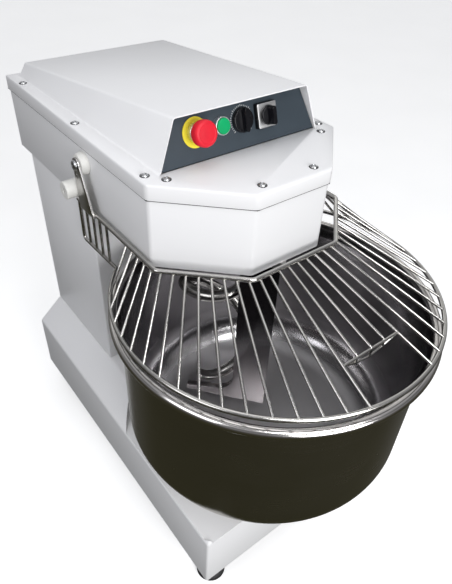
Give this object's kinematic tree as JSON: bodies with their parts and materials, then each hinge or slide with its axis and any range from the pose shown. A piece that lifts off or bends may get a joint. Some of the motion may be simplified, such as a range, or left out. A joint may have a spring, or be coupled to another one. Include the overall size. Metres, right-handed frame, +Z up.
{
  "type": "spiral dough mixer",
  "caption": "Floor-standing spiral dough mixer: rotating bowl, spiral hook, breaker bar, tilting wire guard, and sheet-metal head, column and base.",
  "frame": {"origin": "centre of the footprint box, on the floor", "axes": "+Z up, front (bowl side) towards -Y, +X to the right seen from the front"},
  "size_m": [0.58, 0.925, 0.891],
  "materials": {
    "white_paint": "satin powder coat",
    "grey_primer": "matt",
    "mild_steel": "milled",
    "zinc_steel": "bright zinc",
    "panel_grey": "fine satin",
    "yellow": "satin",
    "silver": "satin",
    "red_gloss": "gloss",
    "green_gloss": "gloss",
    "black_plastic": "satin",
    "white_print": "screen print",
    "stainless": "brushed",
    "bright_wire": "polished",
    "cast_blue": "enamel",
    "bearing_steel": "ground",
    "ground_steel": "ground",
    "dark_steel": "oiled",
    "nylon": "turned",
    "black_rubber": "matt",
    "wheel_rubber": "matt"
  },
  "bodies": {
    "machine": {"base_shell": "white_paint", "column_shell": "white_paint", "column_rear_cover": "white_paint", "head_body": "white_paint", "head_cover": "white_paint", "welded_frame": "grey_primer", "electrical_box": "grey_primer", "head_plate": "mild_steel", "rear_cover_screws": "zinc_steel", "cover_screws": "zinc_steel", "breaker_bolts": "zinc_steel", "guard_pivot_bolts": "zinc_steel", "wheel_forks": "zinc_steel", "control_panel": "panel_grey", "estop_ring": "yellow", "estop_collar": "silver", "start_bezel": "silver", "selector_plate": "silver", "contact_blocks": "black_plastic", "timer_body": "black_plastic", "selector_body": "black_plastic", "motor_fan_cover": "black_plastic", "timer_dial": "white_print", "breaker_bar": "stainless", "breaker_flange": "stainless", "spiral_housing": "cast_blue", "bowl_housing": "cast_blue", "gearbox": "cast_blue", "motor": "cast_blue", "countershaft_bearings": "cast_blue", "spiral_bearings": "bearing_steel", "bowl_bearings": "bearing_steel", "head_chains": "dark_steel", "base_chain": "dark_steel", "guard_spacers": "nylon", "guard_stops": "nylon", "spiral_seal": "black_rubber", "mains_cable": "black_rubber", "front_feet": "black_rubber"},
    "bowl": {"bowl_shell": "stainless", "bowl_hub": "mild_steel", "bowl_shaft": "ground_steel", "bowl_sprocket": "dark_steel"},
    "spiral": {"spiral_hook": "stainless", "spiral_shaft": "ground_steel", "spiral_sprocket": "dark_steel"},
    "drive": {"drive_shaft": "ground_steel", "drive_sprockets": "dark_steel"},
    "layshaft": {"countershaft": "ground_steel", "countershaft_sprockets": "dark_steel"},
    "guard": {"guard_frame": "bright_wire", "guard_ring": "bright_wire", "guard_wires": "bright_wire", "guard_brackets": "stainless"},
    "stop_head": {"estop_button": "red_gloss"},
    "start_cap": {"start_button": "green_gloss"},
    "timer_dial_knob": {"timer_knob": "black_plastic"},
    "selector_handle": {"selector_knob": "black_plastic"},
    "wheel_l": {"left_wheel": "wheel_rubber"},
    "wheel_r": {"right_wheel": "wheel_rubber"}
  },
  "joints": [
    {"name": "bowl_spin", "type": "hinge", "parent": "machine", "child": "bowl", "pos_m": [0, -0.1725, 0.2], "axis": [0, 0, 1], "continuous": true},
    {"name": "spiral_spin", "type": "hinge", "parent": "machine", "child": "spiral", "pos_m": [0, -0.0125, 0.6], "axis": [0, 0, 1], "continuous": true},
    {"name": "drive_spin", "type": "hinge", "parent": "machine", "child": "drive", "pos_m": [0.04, 0.2775, 0.65], "axis": [0, 0, 1], "continuous": true},
    {"name": "layshaft_spin", "type": "hinge", "parent": "machine", "child": "layshaft", "pos_m": [-0.1, 0.1875, 0.4], "axis": [0, 0, 1], "continuous": true},
    {"name": "guard_tilt", "type": "hinge", "parent": "machine", "child": "guard", "pos_m": [0, 0.1295, 0.76], "axis": [-1, 0, 0], "range_deg": [0, 72]},
    {"name": "stop_press", "type": "slide", "parent": "machine", "child": "stop_head", "axis": [0, 0.9578, -0.2874], "range_m": [0, 0.005]},
    {"name": "start_press", "type": "slide", "parent": "machine", "child": "start_cap", "axis": [0, 0.9578, -0.2874], "range_m": [0, 0.003]},
    {"name": "timer_turn", "type": "hinge", "parent": "machine", "child": "timer_dial_knob", "pos_m": [0.004, -0.04807, 0.8551], "axis": [0, -0.9578, 0.2874], "range_deg": [-270, 0]},
    {"name": "selector_turn", "type": "hinge", "parent": "machine", "child": "selector_handle", "pos_m": [0.05, -0.04836, 0.85414], "axis": [0, -0.9578, 0.2874], "range_deg": [-60, 60]},
    {"name": "left_wheel_spin", "type": "hinge", "parent": "machine", "child": "wheel_l", "pos_m": [-0.205, 0.3475, 0.03], "axis": [1, 0, 0], "continuous": true},
    {"name": "right_wheel_spin", "type": "hinge", "parent": "machine", "child": "wheel_r", "pos_m": [0.205, 0.3475, 0.03], "axis": [1, 0, 0], "continuous": true}
  ],
  "couplings": [
    {"joint": "spiral_spin", "follows": "bowl_spin", "ratio": 9.625},
    {"joint": "drive_spin", "follows": "bowl_spin", "ratio": 7},
    {"joint": "layshaft_spin", "follows": "bowl_spin", "ratio": 7}
  ]
}
